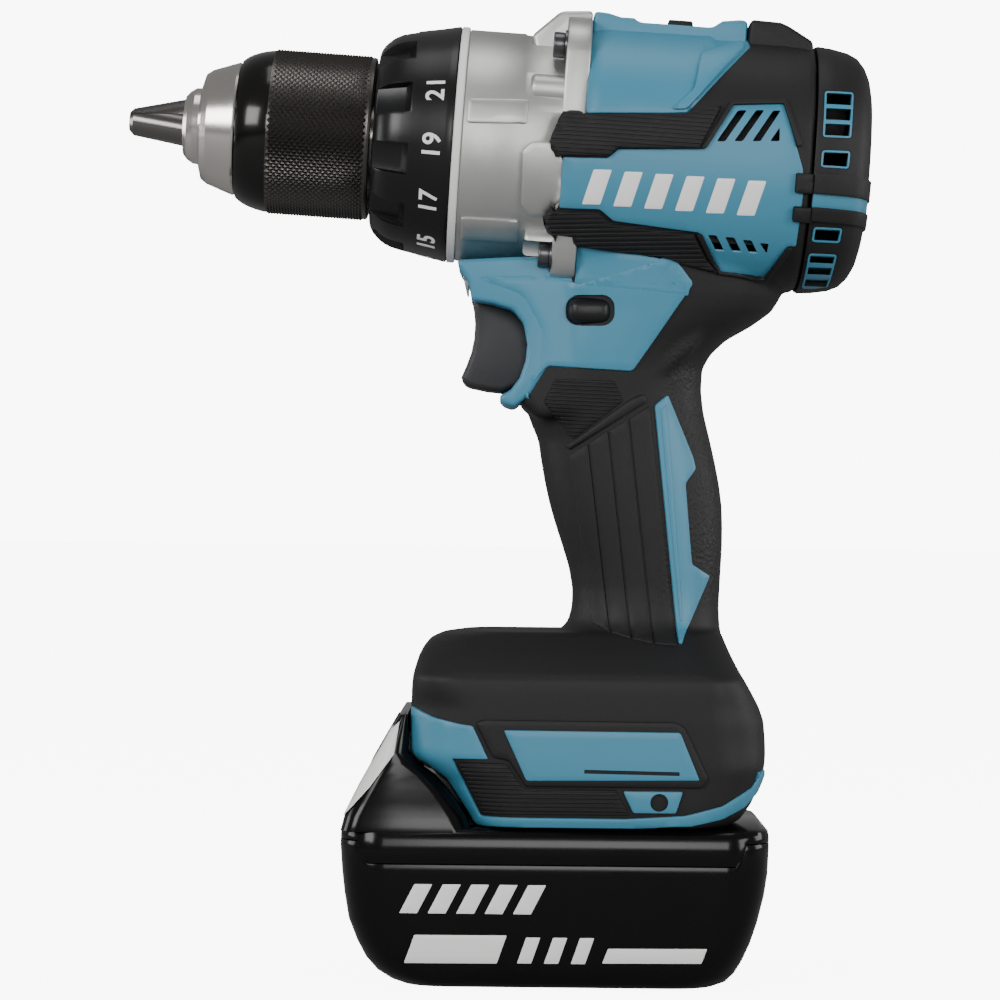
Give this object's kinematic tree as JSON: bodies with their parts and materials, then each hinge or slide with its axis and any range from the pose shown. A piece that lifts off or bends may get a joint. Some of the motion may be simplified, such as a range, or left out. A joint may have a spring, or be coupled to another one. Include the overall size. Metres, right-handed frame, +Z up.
{
  "type": "cordless hammer drill",
  "caption": "Pistol-grip cordless drill with a keyless three-jaw chuck, numbered torque ring, cast gear case, trigger, and a slide-on battery under the handle.",
  "frame": {"origin": "centre of the battery's flat underside", "axes": "+Z up, nose of the chuck towards -X, left side of the tool towards -Y; the chuck axis is tilted 3.6 degrees nose-up"},
  "size_m": [0.2053, 0.078, 0.2665],
  "materials": {
    "blue_plastic": "moulded, fine grain, satin",
    "black_rubber": "soft overmould, matte with fine grain",
    "black_plastic": "moulded, satin",
    "gloss_black": "glossy moulding",
    "grey_plastic": "moulded, satin",
    "pale_plastic": "moulded, satin",
    "cast_aluminium": "die cast, bead blasted",
    "steel": "turned and brushed",
    "dark_steel": "black oxide",
    "copper": "enamelled wire",
    "brass": "machined",
    "magnet": "plated",
    "clear_lens": "clear, moulded",
    "board": "coated circuit board",
    "cell_wrap": "shrink sleeve"
  },
  "bodies": {
    "housing": {"housing_left": "blue_plastic", "housing_right": "blue_plastic", "overmould_left": "black_rubber", "overmould_right": "black_rubber", "housing_screws": "dark_steel", "gear_case": "cast_aluminium", "gear_case_screws": "dark_steel", "trim_ring": "pale_plastic", "ring_gears": "steel", "clutch_spring": "steel", "fixed_cam": "steel", "spindle_bearing": "steel", "motor_bracket": "grey_plastic", "motor_bearings": "steel", "stator_core": "dark_steel", "stator_coils": "copper", "rear_cover": "black_plastic", "rear_cover_screws": "dark_steel", "trigger_switch": "black_plastic", "work_light": "clear_lens", "controller_board": "board", "tool_terminals": "brass", "hook_nuts": "brass"},
    "spindle": {"spindle": "steel", "turning_cam": "steel", "chuck_body": "steel", "chuck_screw": "dark_steel"},
    "chuck_sleeve": {"chuck_sleeve": "black_plastic", "chuck_nut": "steel"},
    "jaw_1": {"chuck_jaw_1": "steel"},
    "jaw_2": {"chuck_jaw_2": "steel"},
    "jaw_3": {"chuck_jaw_3": "steel"},
    "first_carrier": {"first_carrier": "steel"},
    "rotor": {"rotor": "steel", "rotor_magnets": "magnet", "cooling_fan": "black_plastic"},
    "torque_ring": {"torque_ring": "black_plastic"},
    "trigger": {"trigger": "grey_plastic"},
    "direction_lever": {"direction_lever": "black_plastic"},
    "speed_selector": {"speed_selector": "black_plastic"},
    "battery": {"battery_tray": "gloss_black", "battery_lid": "gloss_black", "battery_cells": "cell_wrap", "cell_straps": "steel", "battery_clips": "brass", "battery_fascia": "pale_plastic"},
    "release_button": {"release_button": "black_plastic"},
    "first_planet_1": {"first_planet_1": "steel"},
    "first_planet_2": {"first_planet_2": "steel"},
    "first_planet_3": {"first_planet_3": "steel"},
    "last_planet_1": {"last_planet_1": "steel"},
    "last_planet_2": {"last_planet_2": "steel"},
    "last_planet_3": {"last_planet_3": "steel"}
  },
  "joints": [
    {"name": "spindle_spin", "type": "hinge", "parent": "housing", "child": "spindle", "pos_m": [-0.0402, 0, 0.23034], "axis": [-0.998, 0, 0.0628], "continuous": true},
    {"name": "chuck_sleeve_turn", "type": "hinge", "parent": "spindle", "child": "chuck_sleeve", "pos_m": [-0.07014, 0, 0.23222], "axis": [-0.998, 0, 0.0628], "range_deg": [0, 2000]},
    {"name": "jaw_1_slide", "type": "slide", "parent": "spindle", "child": "jaw_1", "axis": [0.9836, 0, 0.1805], "range_m": [0, 0.0237]},
    {"name": "jaw_2_slide", "type": "slide", "parent": "spindle", "child": "jaw_2", "axis": [0.9608, -0.2095, -0.1816], "range_m": [0, 0.0237]},
    {"name": "jaw_3_slide", "type": "slide", "parent": "spindle", "child": "jaw_3", "axis": [0.9608, 0.2095, -0.1816], "range_m": [0, 0.0237]},
    {"name": "first_carrier_spin", "type": "hinge", "parent": "housing", "child": "first_carrier", "pos_m": [-0.00228, 0, 0.22795], "axis": [-0.998, 0, 0.0628], "continuous": true},
    {"name": "rotor_spin", "type": "hinge", "parent": "housing", "child": "rotor", "pos_m": [0.02966, 0, 0.22594], "axis": [-0.998, 0, 0.0628], "continuous": true},
    {"name": "last_planet_1_spin", "type": "hinge", "parent": "spindle", "child": "last_planet_1", "pos_m": [-0.00826, 0.0132, 0.22833], "axis": [-0.998, 0, 0.0628], "continuous": true},
    {"name": "last_planet_2_spin", "type": "hinge", "parent": "spindle", "child": "last_planet_2", "pos_m": [-0.00755, -0.0066, 0.23974], "axis": [-0.998, 0, 0.0628], "continuous": true},
    {"name": "last_planet_3_spin", "type": "hinge", "parent": "spindle", "child": "last_planet_3", "pos_m": [-0.00898, -0.0066, 0.21692], "axis": [-0.998, 0, 0.0628], "continuous": true},
    {"name": "first_planet_1_spin", "type": "hinge", "parent": "first_carrier", "child": "first_planet_1", "pos_m": [0.00331, 0.0132, 0.2276], "axis": [-0.998, 0, 0.0628], "continuous": true},
    {"name": "first_planet_2_spin", "type": "hinge", "parent": "first_carrier", "child": "first_planet_2", "pos_m": [0.00403, -0.0066, 0.23901], "axis": [-0.998, 0, 0.0628], "continuous": true},
    {"name": "first_planet_3_spin", "type": "hinge", "parent": "first_carrier", "child": "first_planet_3", "pos_m": [0.0026, -0.0066, 0.21619], "axis": [-0.998, 0, 0.0628], "continuous": true},
    {"name": "torque_ring_turn", "type": "hinge", "parent": "housing", "child": "torque_ring", "pos_m": [-0.0402, 0, 0.23034], "axis": [-0.998, 0, 0.0628], "range_deg": [0, 308]},
    {"name": "trigger_pull", "type": "slide", "parent": "housing", "child": "trigger", "axis": [1, 0, 0], "range_m": [0, 0.007], "stiffness_N_per_m": 800, "springref_m": -0.003},
    {"name": "direction_lever_slide", "type": "slide", "parent": "housing", "child": "direction_lever", "axis": [0, 1, 0], "range_m": [-0.003, 0.003]},
    {"name": "speed_selector_slide", "type": "slide", "parent": "housing", "child": "speed_selector", "axis": [0.998, 0, -0.0628], "range_m": [-0.005, 0.004]},
    {"name": "battery_slide", "type": "slide", "parent": "housing", "child": "battery", "axis": [-1, 0, 0], "range_m": [0, 0.12]},
    {"name": "release_button_press", "type": "slide", "parent": "battery", "child": "release_button", "axis": [0, 0, -1], "range_m": [0, 0.004], "stiffness_N_per_m": 800, "springref_m": -0.003}
  ],
  "couplings": [
    {"joint": "jaw_1_slide", "follows": "chuck_sleeve_turn", "m_per_rad": 0.00067},
    {"joint": "jaw_2_slide", "follows": "chuck_sleeve_turn", "m_per_rad": 0.00067},
    {"joint": "jaw_3_slide", "follows": "chuck_sleeve_turn", "m_per_rad": 0.00067},
    {"joint": "first_carrier_spin", "follows": "spindle_spin", "ratio": 3.6667},
    {"joint": "rotor_spin", "follows": "spindle_spin", "ratio": 13.444},
    {"joint": "last_planet_1_spin", "follows": "spindle_spin", "ratio": -3.2},
    {"joint": "last_planet_2_spin", "follows": "spindle_spin", "ratio": -3.2},
    {"joint": "last_planet_3_spin", "follows": "spindle_spin", "ratio": -3.2},
    {"joint": "first_planet_1_spin", "follows": "spindle_spin", "ratio": -11.733},
    {"joint": "first_planet_2_spin", "follows": "spindle_spin", "ratio": -11.733},
    {"joint": "first_planet_3_spin", "follows": "spindle_spin", "ratio": -11.733}
  ]
}
